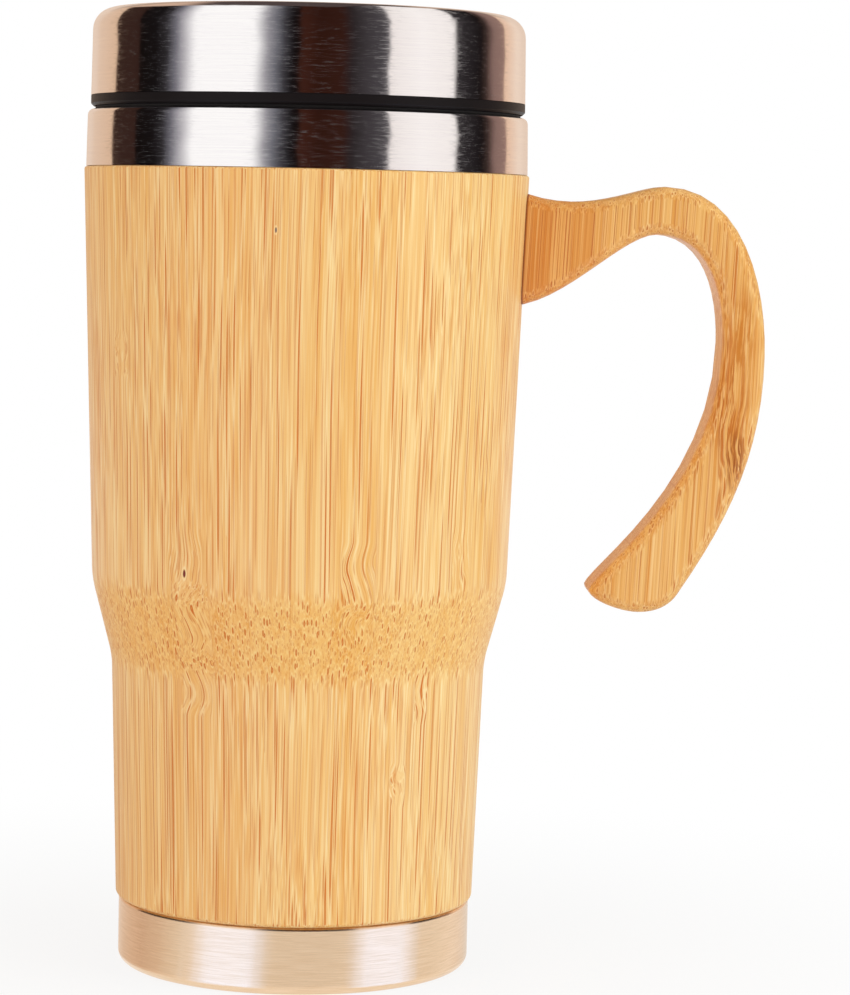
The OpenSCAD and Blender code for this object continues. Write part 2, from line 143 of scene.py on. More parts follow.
def build_knot():
    """How a knot shifts the fibres of its strip: it parts, leans and churns them, and where it follows
    the wall's slope they run along the surface again. Gives its mask too."""
    tree, given, out = effect(
        "bamboo knot",
        {"Height": "Float", "Across": "Float", "Sideways": "Vector", "Wander": "Vector",
         "Knot Across": "Float", "Knot Height": "Float", "Half Width": "Float", "Reach": "Float",
         "Part": "Float", "Lean": "Float", "Churn": "Float", "Follow": "Float"},
        {"Shift": "Vector", "Mask": "Float"})
    # The mask stays whole nearly to the strip's seams, and fades from soon over and under the knot
    full_across, full_height = 0.75, 0.2
    beside = less(tree, given["Across"], given["Knot Across"])
    over = less(tree, given["Height"], given["Knot Height"])
    aside = calc(tree, "ABSOLUTE", calc(tree, "DIVIDE", beside, given["Half Width"]))
    away = calc(tree, "ABSOLUTE", calc(tree, "DIVIDE", over, given["Reach"]))
    mask = times(tree, ramp(tree, aside, full_across, 1.0, 1.0, 0.0),
                 ramp(tree, away, full_height, 1.0, 1.0, 0.0))
    parted = times(tree, times(tree, beside, given["Part"]), -1.0)
    leaned = times(tree, over, given["Lean"])
    x, y, _ = parts_of(tree, given["Sideways"])
    deep = joined(tree, y, times(tree, x, -1.0), 0.0)
    churn, churn_deep, _ = parts_of(tree, given["Wander"])
    along = plus(tree, plus(tree, parted, leaned), times(tree, churn, given["Churn"]))
    inward = less(tree, times(tree, churn_deep, given["Churn"]), times(tree, over, given["Follow"]))
    shift = vector_calc(tree, "ADD", along_level(tree, given["Sideways"], along),
                        along_level(tree, deep, inward))
    tree.links.new(along_level(tree, shift, mask), out["Shift"])
    tree.links.new(mask, out["Mask"])
    return tree


def build_grain():
    """Upright bamboo seen at any cut: glued strips, soft streaks, and the dark fibre bundles."""
    tree, given, out = effect(
        "upright bamboo",
        {"Place": "Vector", "Strip": "Float", "Pale": "Color", "Tan": "Color", "Fibre": "Color",
         "Fleck And Highlight": "Color", "Strip Width": "Float", "Fibre Gap": "Float", "Fibre Weight": "Float"},
        {"Color": "Color", "Roughness": "Float", "Height": "Float"})
    # The fibres wander a little on their way up
    drift_size, drift_reach = (0.05, 0.05, 0.014), (1.6, 1.6, 0.0)
    slow = vector_calc(tree, "MULTIPLY", given["Place"], drift_size)
    drift = add(tree, "TexNoise", {"Vector": slow, "Scale": 1.0, "Detail": 1.0}).outputs["Color"]
    drift = vector_calc(tree, "MULTIPLY", vector_calc(tree, "SUBTRACT", drift, (0.5, 0.5, 0.5)), drift_reach)
    # Each strip of the glued block has a tint and a start of its own
    start_spread = (90.0, 90.0, 0.0)
    number = calc(tree, "FLOORED_MODULO", calc(tree, "FLOOR", given["Strip"]), float(shell_strips))
    chance = add(tree, "TexWhiteNoise", {"W": number}, noise_dimensions="1D").outputs
    part = calc(tree, "FRACT", given["Strip"])
    edge = times(tree, calc(tree, "MINIMUM", part, less(tree, 1.0, part)), given["Strip Width"])
    seam_dark, seam_soft, seam_share = 0.02, 0.14, 0.3
    seam = ramp(tree, edge, seam_dark, seam_soft, 1.0, 0.0)
    start = vector_calc(tree, "MULTIPLY", chance["Color"], start_spread)
    own = vector_calc(tree, "ADD", vector_calc(tree, "ADD", given["Place"], drift), start)
    streak = stretched_noise(tree, own, (0.7, 0.7, 0.006), 3.0, 0.62)
    fine = stretched_noise(tree, own, (2.6, 2.6, 0.014), 2.0, 0.65)

    def bundles(gap_share, least, spread):
        """Columns of fibre: how dark each is, and the painted highlight of a raised rim beside it."""
        gap = times(tree, given["Fibre Gap"], gap_share)
        cells = vector_calc(tree, "DIVIDE", own, joined(tree, gap, gap, 1.0))
        found = add(tree, "TexVoronoi", {"Vector": cells, "Scale": 1.0, "Randomness": 1.0},
                    feature="F1", voronoi_dimensions="2D").outputs
        luck = parts_of(tree, found["Color"])
        off = calc(tree, "DIVIDE", found["Distance"], calc(tree, "MULTIPLY_ADD", luck[0], spread, least))
        weight = ramp(tree, luck[1], 0.1, 0.85, 0.12, 1.0)
        # A bundle is paler at its heart, and just outside it a rim is painted pale as the highlight of its
        # relief
        heart = ramp(tree, off, 0.0, 0.5, 0.5, 0.0)
        core = less(tree, ramp(tree, off, 0.55, 1.0, 1.0, 0.0), heart)
        rim = times(tree, ramp(tree, off, 0.9, 1.15), ramp(tree, off, 1.2, 1.8, 1.0, 0.0))
        return times(tree, core, weight), times(tree, rim, weight)

    faint_share, rim_highlight_share = 0.6, 0.7
    strong, strong_rim = bundles(1.0, 0.19, 0.13)
    faint, faint_rim = bundles(0.53, 0.20, 0.12)
    dark = times(tree, calc(tree, "MAXIMUM", strong, times(tree, faint, faint_share)), given["Fibre Weight"])
    rim_highlight = calc(tree, "MAXIMUM", strong_rim, times(tree, faint_rim, faint_share))
    own_tint, streak_tint = 0.36, 2.6
    tint = calc(tree, "MULTIPLY_ADD", chance["Value"], own_tint,
                calc(tree, "MULTIPLY_ADD", streak, streak_tint, -1.0))
    base = mix(tree, add(tree, "Clamp", {0: tint}).outputs[0], given["Tan"], given["Pale"])
    base = mix(tree, ramp(tree, fine, 0.5, 0.3, 0.0, 0.55), base, given["Fleck And Highlight"])
    base = mix(tree, ramp(tree, fine, 0.52, 0.72, 0.0, 0.5), base, given["Fibre"])
    # Round each bundle a pale rim is painted as a highlight, where light would catch its relief
    base = mix(tree, times(tree, rim_highlight, rim_highlight_share), base, given["Fleck And Highlight"])
    base = mix(tree, dark, base, given["Fibre"])
    base = mix(tree, times(tree, seam, seam_share), base, given["Fibre"])
    tree.links.new(base, out["Color"])
    # Fibre ends are rougher than the lacquered wood between them, and lie deeper
    rough, fine_rough, dark_rough, fine_height = 0.32, 0.12, 0.16, 0.4
    tree.links.new(calc(tree, "MULTIPLY_ADD", dark, dark_rough,
                        calc(tree, "MULTIPLY_ADD", fine, fine_rough, rough)), out["Roughness"])
    tree.links.new(calc(tree, "MULTIPLY_ADD", dark, -1.0, times(tree, fine, fine_height)), out["Height"])
    return tree


shell_strips = 32
strip_ring = 42.0
shell_strip = 2 * math.pi * strip_ring / shell_strips
waist_top, waist_foot = 73.8, 58.9
knot_effect = build_knot()
grain_effect = build_grain()


def bamboo(name, tones, strip, start, ring, gap, weight, knots, pits=(), scorches=(), joint=None):
    """Lacquered bamboo in four tones: pale, tan, fibre, and a paler one for flecks and for the painted
    highlights round the fibres and the pits. The strips, so wide and counted from that start, stand in
    a ring of that radius, or side by side where it is 0. A knot is a point, its half width and reach,
    and how it parts, leans, churns and follows. A pit is a point, its half sizes and its tone. A scorch
    is the same, soft and streaky. A joint is the radius and slope, at a height, of the face that the
    piece is glued to, and near it the shade from that face is painted in. All sizes are in millimetres."""
    material, tree, shader = new_finish(name)
    place = place_in_mm(tree)
    x, y, z = parts_of(tree, place)
    across, sideways = x, (1.0, 0.0, 0.0)
    if ring:
        across = times(tree, calc(tree, "ARCTAN2", y, x), ring)
        sideways = vector_calc(tree, "NORMALIZE", joined(tree, times(tree, y, -1.0), x, 0.0))
    churn_across, churn_up = 0.24, 0.17
    wander = add(tree, "TexNoise", {
        "Vector": joined(tree, times(tree, across, churn_across), 0.0, times(tree, z, churn_up)),
        "Scale": 1.0, "Detail": 1.0}).outputs["Color"]
    wander = vector_calc(tree, "SUBTRACT", wander, (0.5, 0.5, 0.5))
    if ring:
        # The strips lean with the wall, so that it cuts their fibres into long lines
        lean_above, lean_below = 0.018, 0.017
        over_waist = calc(tree, "MAXIMUM", less(tree, z, waist_top), 0.0)
        under_waist = calc(tree, "MINIMUM", less(tree, z, waist_foot), 0.0)
        climb = plus(tree, times(tree, over_waist, lean_above), times(tree, under_waist, lean_below))
        outward = vector_calc(tree, "NORMALIZE", joined(tree, x, y, 0.0))
    else:
        slab_lean = 0.04
        climb, outward = times(tree, z, slab_lean), sideways
    shifted = vector_calc(tree, "SUBTRACT", place, along_level(tree, outward, climb))
    knotted = 0.0
    for point, half_width, reach, part, lean, churn, follow in knots:
        knot = add(tree, "Group", {"Height": z, "Across": across, "Sideways": sideways, "Wander": wander},
                   node_tree=knot_effect)
        knot_across = math.atan2(point[1], point[0]) * ring if ring else point[0]
        for socket, value in (("Knot Across", knot_across), ("Knot Height", point[2]),
                              ("Half Width", half_width), ("Reach", reach), ("Part", part),
                              ("Lean", lean), ("Churn", churn), ("Follow", follow)):
            knot.inputs[socket].default_value = value
        shifted = vector_calc(tree, "ADD", shifted, knot.outputs["Shift"])
        knotted = calc(tree, "MAXIMUM", knotted, knot.outputs["Mask"])
    grain = add(tree, "Group", {"Place": shifted}, node_tree=grain_effect)
    tree.links.new(calc(tree, "DIVIDE", less(tree, across, start), strip), grain.inputs["Strip"])
    for socket, value in (("Pale", tones[0]), ("Tan", tones[1]), ("Fibre", tones[2]),
                          ("Fleck And Highlight", tones[3]), ("Strip Width", strip), ("Fibre Gap", gap)):
        grain.inputs[socket].default_value = value
    knot_weight = 0.12
    tree.links.new(calc(tree, "MULTIPLY_ADD", knotted, knot_weight, weight), grain.inputs["Fibre Weight"])
    shade = grain.outputs["Color"]
    if ring:
        # The waist cuts across the fibres, and their open ends drink more lacquer
        ends_soft, ends_tint = 3.0, colour(254, 246, 222)
        ends = times(tree, ramp(tree, z, waist_foot - ends_soft, waist_foot + ends_soft),
                     ramp(tree, z, waist_top - ends_soft, waist_top + ends_soft, 1.0, 0.0))
        shade = mix(tree, ends, shade, ends_tint, "MULTIPLY")

    def away_from(point, size):
        """How far the place is from the point, counted in its half sizes."""
        return vector_calc(tree, "LENGTH", vector_calc(
            tree, "DIVIDE", vector_calc(tree, "SUBTRACT", place, point), size))

    if scorches:
        streaks = ramp(tree, stretched_noise(tree, shifted, (2.0, 2.0, 0.12), 3.0, 0.6), 0.44, 0.58)
    for point, size, tone in scorches:
        patch = ramp(tree, away_from(point, size), 0.3, 1.0, 1.0, 0.0)
        shade = mix(tree, times(tree, patch, streaks), shade, tone)
    for point, size, tone in pits:
        off = away_from(point, size)
        # A pale ring is painted round each pit as the highlight on its lip
        lip_highlight = times(tree, ramp(tree, off, 1.0, 1.2), ramp(tree, off, 1.3, 1.9, 0.7, 0.0))
        shade = mix(tree, ramp(tree, off, 0.7, 1.0, 1.0, 0.0), shade, tone)
        shade = mix(tree, lip_highlight, shade, tones[3])
    if joint:
        # Towards the joint the wood is darker, partly steamed and partly painted shade from the shell, and
        # the glue line is nearly brown, with a painted contact shadow in it
        near, far, steamed_and_shaded = 3.0, 26.0, colour(249, 228, 204)
        glue_and_shadow_width, glue_and_shadow_soft, glue_and_shadow_share, glue_and_shadow = 0.12, 0.5, 0.85, colour(128, 50, 14)
        radius, slope, height = joint
        face = calc(tree, "MULTIPLY_ADD", less(tree, z, height), slope, radius)
        off = less(tree, vector_calc(tree, "LENGTH", joined(tree, x, y, 0.0)), face)
        shade = mix(tree, ramp(tree, off, near, far, 1.0, 0.0), shade, steamed_and_shaded, "MULTIPLY")
        shade = mix(tree, ramp(tree, off, glue_and_shadow_width, glue_and_shadow_soft, glue_and_shadow_share, 0.0), shade, glue_and_shadow)
    tree.links.new(shade, shader.inputs["Base Color"])
    tree.links.new(grain.outputs["Roughness"], shader.inputs["Roughness"])
    bump = add(tree, "Bump", {"Height": grain.outputs["Height"], "Strength": 0.6, "Distance": 0.12 * MM})
    tree.links.new(bump.outputs["Normal"], shader.inputs["Normal"])
    shader.inputs["Specular IOR Level"].default_value = 0.35
    shader.inputs["Coat Weight"].default_value = 0.08
    shader.inputs["Coat Roughness"].default_value = 0.18
    return material


def smooth_shading(piece):
    """Soft shading over a CAD node's facets, with its real edges kept sharp."""
    piece.data.shade_smooth()
    piece.modifiers.new("weld", "WELD").merge_threshold = 0.002 * MM
    split = piece.modifiers.new("edges", "EDGE_SPLIT")
    split.split_angle = math.radians(32.0)
    split.use_edge_sharp = False
    piece.modifiers.new("shading", "WEIGHTED_NORMAL").mode = "FACE_AREA"


def finish_node(name, material):
    """Gives a CAD node its material and its soft shading."""
    piece = nodes[name]
    if not piece.material_slots:
        piece.data.materials.append(material)
    for place in piece.material_slots:
        place.material = material
    smooth_shading(piece)


# In two strips the pit or parted fibres over the waist, the churned ones on it, and under it the ones
# that lean back to the strip. Then smaller knots, and the last four at the sides and the back.
shell_knots = (
    ((-21.0, -33.8, 77.0), 4.6, 9.0, 0.25, -0.14, 0.6, 0.0),
    ((-19.6, -33.4, 68.0), 4.8, 9.0, 0.0, 0.30, 1.5, 0.19),
    ((-18.8, -30.9, 59.0), 4.4, 8.0, -0.1, 0.45, 0.6, 0.08),
    ((10.6, -38.3, 77.0), 3.9, 8.0, 0.15, 0.28, 0.6, 0.0),
    ((10.9, -37.2, 68.0), 4.0, 6.0, 0.10, 0.1, 1.6, 0.07),
    ((29.7, -26.5, 79.0), 3.2, 8.0, 0.30, 0.12, 1.2, 0.0),
    ((22.8, -27.3, 55.0), 2.2, 5.5, 0.25, 0.15, 1.8, 0.0),
    ((18.7, -29.7, 39.0), 2.4, 4.5, 0.35, 0.15, 2.0, 0.0),
    ((-33.6, -23.6, 117.0), 2.8, 5.5, 0.45, 0.0, 1.8, 0.0),
    ((-12.0, 38.0, 98.0), 4.0, 8.0, 0.25, 0.20, 2.0, 0.0),
    ((16.0, 30.0, 42.0), 4.0, 7.0, 0.20, 0.20, 2.2, 0.0),
    ((39.0, 14.0, 66.0), 3.8, 8.0, 0.10, -0.25, 2.4, 0.2),
    ((-37.0, 14.0, 128.0), 4.0, 6.0, 0.30, 0.10, 1.8, 0.0),
)
shell_pits = (
    ((-21.0, -33.9, 77.9), (0.3, 0.7, 0.85), colour(120, 30, 10)),
    ((-5.4, -41.6, 140.6), (0.2, 0.6, 0.55), colour(120, 104, 96)),
)
# The fourth tone is the paler one, for flecks and for the painted highlights round fibres and pits
shell_tones = (colour(249, 208, 139), colour(241, 183, 98), colour(214, 114, 16), colour(255, 230, 172))
finish_node("bamboo_shell", bamboo(
    "lacquered bamboo", shell_tones, strip=shell_strip, start=-92.4, ring=strip_ring, gap=0.74,
    weight=0.9, knots=shell_knots, pits=shell_pits))


# Handle: a hook sawn from a slab of darker, steamed bamboo, its long edges rounded over, coped to the
# shell and screwed on from inside. Its fibres stand upright too, so the crest and tip show cut ends.

# The fourth tone is the paler one, for flecks and for the painted highlights round fibres and pits
handle_tones = (colour(244, 192, 112), colour(224, 148, 58), colour(194, 98, 12), colour(254, 216, 150))
handle_knots = (
    ((82.0, -7.5, 98.0), 3.4, 12.0, 0.1, 0.14, 1.0, 0.0),
    ((75.0, -7.5, 128.0), 3.0, 8.0, 0.2, 0.1, 0.8, 0.0),
)
handle_scorches = (
    ((81.0, -7.5, 109.0), (5.0, 8.0, 17.0), colour(200, 114, 28)),
    ((83.0, -7.5, 123.0), (3.6, 8.0, 11.0), colour(210, 130, 42)),
    ((82.2, -7.5, 98.5), (2.4, 8.0, 7.5), colour(162, 84, 12)),
)
shell_face = (39.65, 0.03273, waist_top)
finish_node("handle", bamboo(
    "steamed bamboo", handle_tones, strip=8.4, start=4.0, ring=0.0, gap=0.74, weight=0.7,
    knots=handle_knots, scorches=handle_scorches, joint=shell_face))


# Polished steel: the collar round the mouth and the lid's cover are spun from thin stainless sheet,
# and polishing on the lathe leaves the finest of lines running round them.

def build_lathe_lines():
    """Fine lines round the mug's axis, and short streaks of grain between them."""
    tree, given, out = effect("lathe lines", {"Place": "Vector", "Lines": "Float", "Break": "Float"},
                              {"Lines": "Float", "Grain": "Float"})
    grain_size = (0.45, 0.45, 5.0)
    x, y, z = parts_of(tree, given["Place"])
    flat = joined(tree, x, y, 0.0)
    # Both the height and the radius count, so that lines run round the sides and the flats alike
    along = plus(tree, z, vector_calc(tree, "LENGTH", flat))
    turned = along_level(tree, vector_calc(tree, "NORMALIZE", flat), given["Break"])
    spot = vector_calc(tree, "ADD", turned, joined(tree, 0.0, 0.0, times(tree, along, given["Lines"])))
    tree.links.new(noise(tree, spot, 1.0, 3.0, 0.65), out["Lines"])
    tree.links.new(stretched_noise(tree, given["Place"], grain_size, 2.0, 0.65), out["Grain"])
    return tree


lathe_effect = build_lathe_lines()


def steel(name, tint, darker, rough, spread, lines, breaks, depth, scuffs=0.0, **fixed):
    """Steel finished on a lathe: lines and grain in the roughness and the relief, a faint change of
    tint. Scuffs roughen it in short streaks. The depth of the lines is in millimetres."""
    material, tree, shader = new_finish(name)
    lathe = add(tree, "Group", node_tree=lathe_effect)
    tree.links.new(place_in_mm(tree), lathe.inputs["Place"])
    lathe.inputs["Lines"].default_value = lines
    lathe.inputs["Break"].default_value = breaks
    shade = mix(tree, ramp(tree, lathe.outputs["Lines"], 0.3, 0.7), darker, tint)
    tree.links.new(shade, shader.inputs["Base Color"])
    speck = ramp(tree, lathe.outputs["Grain"], 0.42, 0.75, 0.0, scuffs)
    lined = calc(tree, "MULTIPLY_ADD", lathe.outputs["Lines"], spread, rough - spread / 2)
    tree.links.new(plus(tree, speck, lined), shader.inputs["Roughness"])
    grain_height = 0.3
    height = calc(tree, "MULTIPLY_ADD", lathe.outputs["Grain"], grain_height, lathe.outputs["Lines"])
    bump = add(tree, "Bump", {"Height": height, "Strength": 1.0, "Distance": depth * MM})
    tree.links.new(bump.outputs["Normal"], shader.inputs["Normal"])
    shader.inputs["Metallic"].default_value = 1.0
    for socket, value in fixed.items():
        shader.inputs[socket.replace("_", " ")].default_value = value
    return material


polished = steel(
    "polished steel", colour(254, 253, 252), colour(249, 247, 248), rough=0.07, spread=0.05, lines=9.0,
    breaks=2.5, depth=0.0016, scuffs=0.14)
finish_node("steel_collar", polished)
finish_node("lid_cap", polished)


# Base cap: pressed steel with a brushed, warm champagne finish, glued into the shell's foot by its
# neck. Its middle is raised, so that the mug stands on a ring.

finish_node("base_cap", steel(
    "brushed champagne steel", colour(252, 222, 188), colour(236, 202, 164), rough=0.25, spread=0.10,
    lines=7.0, breaks=5.0, depth=0.003, Anisotropic=0.85, Anisotropic_Rotation=0.25))


# Liner: the drawn stainless vessel that holds the drink. Its wall is satin from the drawing, and its
# lip is turned out over the collar.

finish_node("steel_liner", steel(
    "drawn steel", colour(222, 221, 220), colour(204, 203, 202), rough=0.26, spread=0.14, lines=4.0,
    breaks=1.5, depth=0.006))


# Handle screws: two zinc-plated wood screws, driven from inside the bore into the handle's root and
# hidden between the shell and the liner.

finish_node("handle_screws", steel(
    "zinc plate", colour(206, 208, 212), colour(182, 184, 188), rough=0.32, spread=0.2, lines=5.0,
    breaks=6.0, depth=0.006, scuffs=0.15))


# Black plastic: the plug with its flange, the deck and the slider are moulded in black polypropylene,
# with the faint flow marks and fine grain of a moulding.

def moulded(name, tint, worn, rough, grain_rough, grain_size, depth, **fixed):
    """Moulded plastic or rubber: a fine grain, so deep in millimetres, and soft flow marks."""
    material, tree, shader = new_finish(name)
    place = place_in_mm(tree)
    flow_rough = 0.08
    flow = stretched_noise(tree, place, (0.06, 0.06, 0.12), 2.0, 0.5)
    grain = noise(tree, place, grain_size, 2.0, 0.6)
    tree.links.new(mix(tree, flow, tint, worn), shader.inputs["Base Color"])
    tree.links.new(calc(tree, "MULTIPLY_ADD", grain, grain_rough,
                        calc(tree, "MULTIPLY_ADD", flow, flow_rough, rough)), shader.inputs["Roughness"])
    bump = add(tree, "Bump", {"Height": grain, "Strength": 0.6, "Distance": depth * MM})
    tree.links.new(bump.outputs["Normal"], shader.inputs["Normal"])
    for socket, value in fixed.items():
        shader.inputs[socket.replace("_", " ")].default_value = value
    return material


black_plastic = moulded("black plastic", colour(13, 7, 7), colour(24, 17, 17), rough=0.34,
                        grain_rough=0.16, grain_size=1.8, depth=0.03, Specular_IOR_Level=0.16)
for name in ("lid_plug", "lid_deck", "slider"):
    finish_node(name, black_plastic)


# Shade ring: a thin black ring with rounded corners under the flange, just inside its edge, which closes
# the gap over the collar. It is painted shade: a dark ring put where the gap lies in shadow.

shade_ring_inner, shade_ring_outer, shade_ring_foot, shade_ring_top = 39.5 * MM, 40.25 * MM, 162.53 * MM, 163.0 * MM
shade_ring_corner, shade_ring_steps, tiny = 0.1 * MM, 128, 0.01 * MM
work = bmesh.new()
corners = [work.verts.new((radius, 0.0, height)) for radius, height in (
    (shade_ring_inner, shade_ring_top), (shade_ring_inner, shade_ring_foot),
    (shade_ring_outer, shade_ring_foot), (shade_ring_outer, shade_ring_top))]
sides = [work.edges.new((corners[i - 1], corners[i])) for i in range(4)]
bmesh.ops.spin(work, geom=[*corners, *sides], cent=(0, 0, 0), axis=(0, 0, 1), angle=2 * math.pi,
               steps=shade_ring_steps, use_merge=True)
bmesh.ops.remove_doubles(work, verts=work.verts, dist=0.001 * MM)
rounded = []
for edge in work.edges:
    first, second = (corner.co for corner in edge.verts)
    if abs(first.z - second.z) < tiny and abs(first.xy.length - second.xy.length) < tiny:
        rounded.append(edge)
bmesh.ops.bevel(work, geom=rounded, offset=shade_ring_corner, segments=2, profile=0.5, affect="EDGES",
                material=-1)
bmesh.ops.recalc_face_normals(work, faces=work.faces)
mesh = bpy.data.meshes.new("flange_shade_ring")
work.to_mesh(mesh)
work.free()
mesh.shade_smooth()
mesh.materials.append(moulded("black shade ring", colour(16, 14, 14), colour(26, 23, 23), rough=0.6,
                              grain_rough=0.16, grain_size=2.4, depth=0.02))
shade_ring = bpy.data.objects.new("flange_shade_ring", mesh)
bpy.context.scene.collection.objects.link(shade_ring)
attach(shade_ring, "lid")


# Seals: the ring with two lips in the plug's groove and the pad under the slider, both moulded in
# clear grey silicone and pushed into place.

glow_depth = 1.0 * MM
silicone = moulded("grey silicone", colour(196, 197, 192), colour(184, 185, 181), rough=0.42,
                   grain_rough=0.12, grain_size=2.0, depth=0.01, Subsurface_Weight=0.15,
                   Subsurface_Radius=(glow_depth, glow_depth, glow_depth))
for name in ("lid_seal", "slider_seal"):
    finish_node(name, silicone)


# Liner pad: a disc cut from pale foam sheet, laid on the base cap's raised middle, which keeps the
# liner from rattling.

finish_node("liner_pad", moulded("pale foam", colour(232, 226, 210), colour(218, 210, 192), rough=0.8,
                                 grain_rough=0.1, grain_size=1.4, depth=0.12))


# Studio: a pale floor under a pale sky, soft lamps, and a painted wall and floor card that only the
# reflections see, for the metal to mirror.

def studio_mesh(name, work, material):
    mesh = bpy.data.meshes.new(name)
    work.to_mesh(mesh)
    work.free()
    mesh.materials.append(material)
    piece = bpy.data.objects.new(name, mesh)
    bpy.context.scene.collection.objects.link(piece)
    return piece


def bare_paint(name):
    """A new material with no shader yet, and its tree."""
    material, tree, shader = new_finish(name)
    tree.nodes.remove(shader)
    return material, tree


def coat(tree, shader):
    tree.links.new(shader.outputs[0], tree.nodes["Material Output"].inputs["Surface"])


def seen_plainly(tree):
    """1 for the rays from the camera, from mirrors and through glass."""
    rays = add(tree, "LightPath").outputs
    return calc(tree, "MAXIMUM", calc(tree, "MAXIMUM", rays["Is Camera Ray"], rays["Is Glossy Ray"]),
                rays["Is Transmission Ray"])


def painted_stops(tree, along, tones):
    """A colour ramp along a value from 0 to 1, with the tones at their places."""
    painted = add(tree, "ValToRGB", {"Fac": along})
    stops = painted.color_ramp.elements
    stops.remove(stops[1])
    stops[0].position, stops[0].color = tones[0]
    for position, tone in tones[1:]:
        stops.new(position).color = tone
    return painted.outputs


# The floor looks near white, less the shadow that falls on it near the mug
white = (1.0, 1.0, 1.0, 1.0)
floor_half, shadow_near, shadow_far, floor_glow = 6.0, 0.05, 0.20, 0.84
floor_paint, tree = bare_paint("pale floor")
away = vector_calc(tree, "LENGTH", add(tree, "TexCoord").outputs["Object"])
share = times(tree, seen_plainly(tree), ramp(tree, away, shadow_near, shadow_far, floor_glow, 1.0))
coat(tree, add(tree, "MixShader", {
    0: share, 1: add(tree, "BsdfDiffuse", {"Color": colour(244, 244, 244)}).outputs[0],
    2: add(tree, "Emission", {"Color": white, "Strength": 1.0}).outputs[0]}))
work = bmesh.new()
bmesh.ops.create_grid(work, x_segments=1, y_segments=1, size=floor_half)
studio_mesh("floor", work, floor_paint)

# The sky looks white and lights the mug less
ambient = 0.56
world = bpy.data.worlds.new("studio")
world.use_nodes = True
bpy.context.scene.world = world
tree = world.node_tree
background = tree.nodes["Background"]
background.inputs["Color"].default_value = white
tree.links.new(calc(tree, "MULTIPLY_ADD", seen_plainly(tree), 1.0 - ambient, ambient),
               background.inputs["Strength"])

# The wall's bands, by their direction in degrees from the camera's side towards the handle
bands = (
    (-180.0, (232, 210, 192)), (-120.0, (218, 182, 152)), (-119.6, (54, 37, 31)), (-99.4, (52, 33, 27)),
    (-98.8, (17, 13, 12)), (-86.0, (20, 17, 17)), (-79.0, (42, 39, 41)), (-73.0, (112, 110, 118)),
    (-67.0, (186, 182, 186)), (-61.0, (254, 252, 251)), (-28.0, (254, 252, 251)),
    (-22.0, (150, 147, 152)), (-17.6, (108, 108, 115)), (-13.0, (58, 56, 60)), (-8.4, (20, 16, 16)),
    (-5.2, (18, 14, 14)), (-4.8, (60, 31, 22)), (5.0, (46, 22, 15)), (17.0, (50, 26, 19)),
    (22.0, (42, 36, 37)), (38.0, (72, 68, 71)), (41.8, (92, 88, 91)), (42.2, (240, 232, 228)),
    (60.0, (250, 244, 241)), (81.4, (244, 237, 233)), (81.8, (50, 46, 48)), (101.0, (22, 18, 18)),
    (106.0, (58, 44, 40)), (112.0, (134, 106, 98)), (124.6, (146, 116, 106)), (125.0, (230, 192, 164)),
    (142.0, (238, 214, 194)),
)
wall_radius, wall_foot, ceiling, wall_steps = 1.6, -0.5, 3.0, 96
lid_place = (0.0, 0.0, 0.175)
wall_paint, tree = bare_paint("studio wall")
way = vector_calc(tree, "NORMALIZE", vector_calc(
    tree, "SUBTRACT", add(tree, "TexCoord").outputs["Object"], lid_place))
x, y, z = parts_of(tree, way)
# The bands follow the leaning faces that mirror them, so they stay upright over a rounded rim
ahead = less(tree, 1.0, y)
leaning = calc(tree, "ARCTAN2", x, ahead)
rise = calc(tree, "DIVIDE", z, vector_calc(tree, "LENGTH", joined(tree, x, ahead, 0.0)))
turn = calc(tree, "MULTIPLY_ADD", leaning, 1 / math.pi, 0.5)
painted = painted_stops(tree, turn, [(direction / 360 + 0.5, colour(*tone)) for direction, tone in bands])
# Past the tops of the boxes the room is dark straight behind the mug, and warm beside that
top = ramp(tree, leaning, 0.1, 0.35, 1.2, 2.0)
beyond = mix(tree, ramp(tree, calc(tree, "ABSOLUTE", leaning), 0.5, 0.75), colour(78, 66, 64),
             colour(206, 172, 148))
shade = mix(tree, ramp(tree, calc(tree, "DIVIDE", rise, top), 0.95, 1.08), painted["Color"], beyond)
# Leaning means nothing straight behind the mug, where the wall is plain up to the dark above it
behind = mix(tree, ramp(tree, z, 0.3, 0.5), colour(230, 205, 185), colour(88, 76, 73))
shade = mix(tree, ramp(tree, y, 0.8, 0.93), shade, behind)
coat(tree, add(tree, "Emission", {"Color": shade, "Strength": 1.0}))
wall = bmesh.new()
line = [wall.verts.new((0.0, -radius, height)) for radius, height in (
    (wall_radius, wall_foot), (wall_radius, ceiling), (0.0, ceiling))]
sides = [wall.edges.new(pair) for pair in zip(line, line[1:])]
bmesh.ops.spin(wall, geom=[*line, *sides], cent=(0, 0, 0), axis=(0, 0, 1), angle=2 * math.pi,
               steps=wall_steps, use_merge=True)
bmesh.ops.remove_doubles(wall, verts=wall.verts, dist=0.0001)

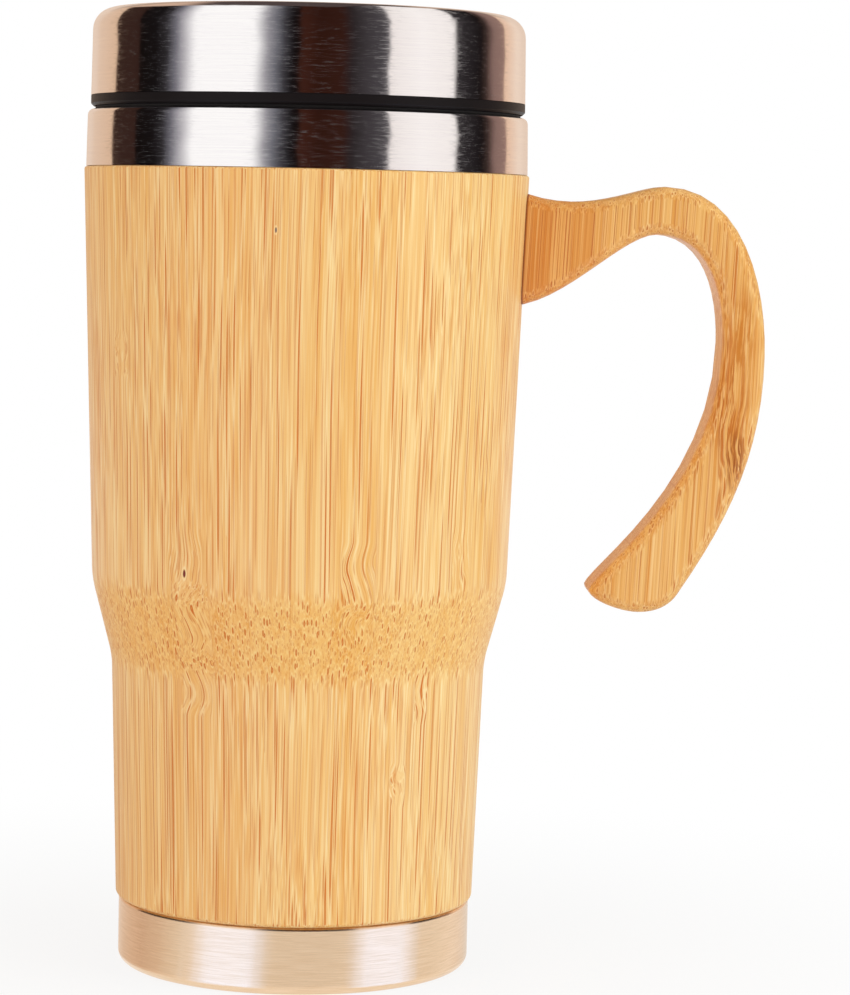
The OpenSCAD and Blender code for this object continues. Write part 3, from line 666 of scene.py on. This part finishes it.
# A card on the floor for the base cap to mirror, painted along the lines that its faces look along.
# A face is given in degrees from the camera's side, with half its glow and its cover.
card_start, card_reach, card_lift, card_end, card_step = 0.034, 0.4, 0.001, 84, 3
bright, dull = (0.53, 0.67, 1.0), (0.36, 0.29, 0.25)
card_tones = (
    (-card_end, (0.40, 0.35, 0.31), 1.0), (-72, (0.37, 0.31, 0.27), 1.0), (-60, dull, 1.0),
    (-50, (0.40, 0.34, 0.30), 0.9), (-41, (0.44, 0.40, 0.37), 0.3), (-37, bright, 0.0),
    (-29, bright, 1.0), (-15, bright, 1.0), (-8, bright, 0.0), (17, bright, 0.0), (24, bright, 1.0),
    (37, bright, 1.0), (45, bright, 0.0), (62, dull, 0.0), (80, (0.37, 0.36, 0.34), 0.8),
)
card_paint, tree = bare_paint("studio card")
mirrored_by = add(tree, "Attribute", attribute_name="facing").outputs["Fac"]
painted = painted_stops(tree, calc(tree, "MULTIPLY_ADD", mirrored_by, 1 / 180, 0.5), [
    (facing / 180 + 0.5, (*tone, cover)) for facing, tone, cover in card_tones])
coat(tree, add(tree, "MixShader", {
    0: painted["Alpha"], 1: add(tree, "BsdfTransparent").outputs[0],
    2: add(tree, "Emission", {"Color": painted["Color"], "Strength": 2.0}).outputs[0]}))
card = bmesh.new()
faced = card.verts.layers.float.new("facing")
lines = []
for facing in range(-card_end, card_end + 1, card_step):
    foot = Matrix.Rotation(math.radians(facing), 3, "Z") @ Vector((0.0, -card_start, card_lift))
    along = Matrix.Rotation(math.radians(2 * facing), 3, "Z") @ Vector((0.0, -card_reach, 0.0))
    lines.append([card.verts.new(spot) for spot in (foot, foot + along)])
    for corner in lines[-1]:
        corner[faced] = facing
for line, following in zip(lines, lines[1:]):
    bmesh.ops.contextual_create(card, geom=line + following)
bmesh.ops.recalc_face_normals(card, faces=card.faces)
for piece in (studio_mesh("studio wall", wall, wall_paint), studio_mesh("studio card", card, card_paint)):
    piece.visible_camera = False
    piece.visible_diffuse = False
    piece.visible_shadow = False
    piece.visible_transmission = False


def lamp(name, azimuth, height, distance, width, tall, glow, tint):
    """A soft box aimed at the mug's middle, with its brightness as the eye would read it."""
    mug_middle = Vector((0.0, 0.0, 0.09))
    light = bpy.data.lights.new(name, "AREA")
    light.shape = "RECTANGLE"
    light.size, light.size_y = width, tall
    light.energy = glow * math.pi * width * tall
    light.color = tint
    turned = math.radians(azimuth)
    place = Vector((math.sin(turned) * distance, -math.cos(turned) * distance, height))
    box = bpy.data.objects.new(name, light)
    aim = place - mug_middle
    box.matrix_world = Matrix.Translation(place) @ aim.to_track_quat("Z", "Y").to_matrix().to_4x4()
    box.visible_camera = False
    box.visible_glossy = False
    bpy.context.scene.collection.objects.link(box)


lamp("soft box right", azimuth=64.0, height=0.42, distance=1.2, width=0.9, tall=1.1, glow=2.3,
     tint=(0.95, 1.06, 1.05))
lamp("soft box left", azimuth=-44.0, height=0.32, distance=1.2, width=1.1, tall=1.1, glow=1.22,
     tint=(1.03, 0.74, 0.56))
lamp("soft box above", azimuth=10.0, height=1.3, distance=0.3, width=1.0, tall=1.0, glow=0.7,
     tint=(1.0, 0.97, 0.93))


# Camera: at the photograph's height and distance, looking slightly down and rolled a little, as the
# photograph was taken.

lens_mm, sensor_mm, nearest = 124.57, 36.0, 0.01
camera_place = Vector((0.0, -0.6578, 0.14365))
yaw, pitch, roll = (math.radians(a) for a in (2.066, 4.670, 1.254))
view = bpy.data.cameras.new("camera")
view.lens = lens_mm
view.sensor_width = sensor_mm
view.clip_start = nearest
ahead = Vector((math.sin(yaw) * math.cos(pitch), math.cos(yaw) * math.cos(pitch), -math.sin(pitch)))
level = Vector((math.cos(yaw), -math.sin(yaw), 0.0))
above = level.cross(ahead)
sideways = math.cos(roll) * level + math.sin(roll) * above
upright = math.cos(roll) * above - math.sin(roll) * level
turned = Matrix((sideways, upright, -ahead)).transposed().to_4x4()
camera = bpy.data.objects.new("camera", view)
camera.matrix_world = Matrix.Translation(camera_place) @ turned
bpy.context.scene.collection.objects.link(camera)
bpy.context.scene.camera = camera
bpy.context.scene.view_settings.view_transform = "Standard"
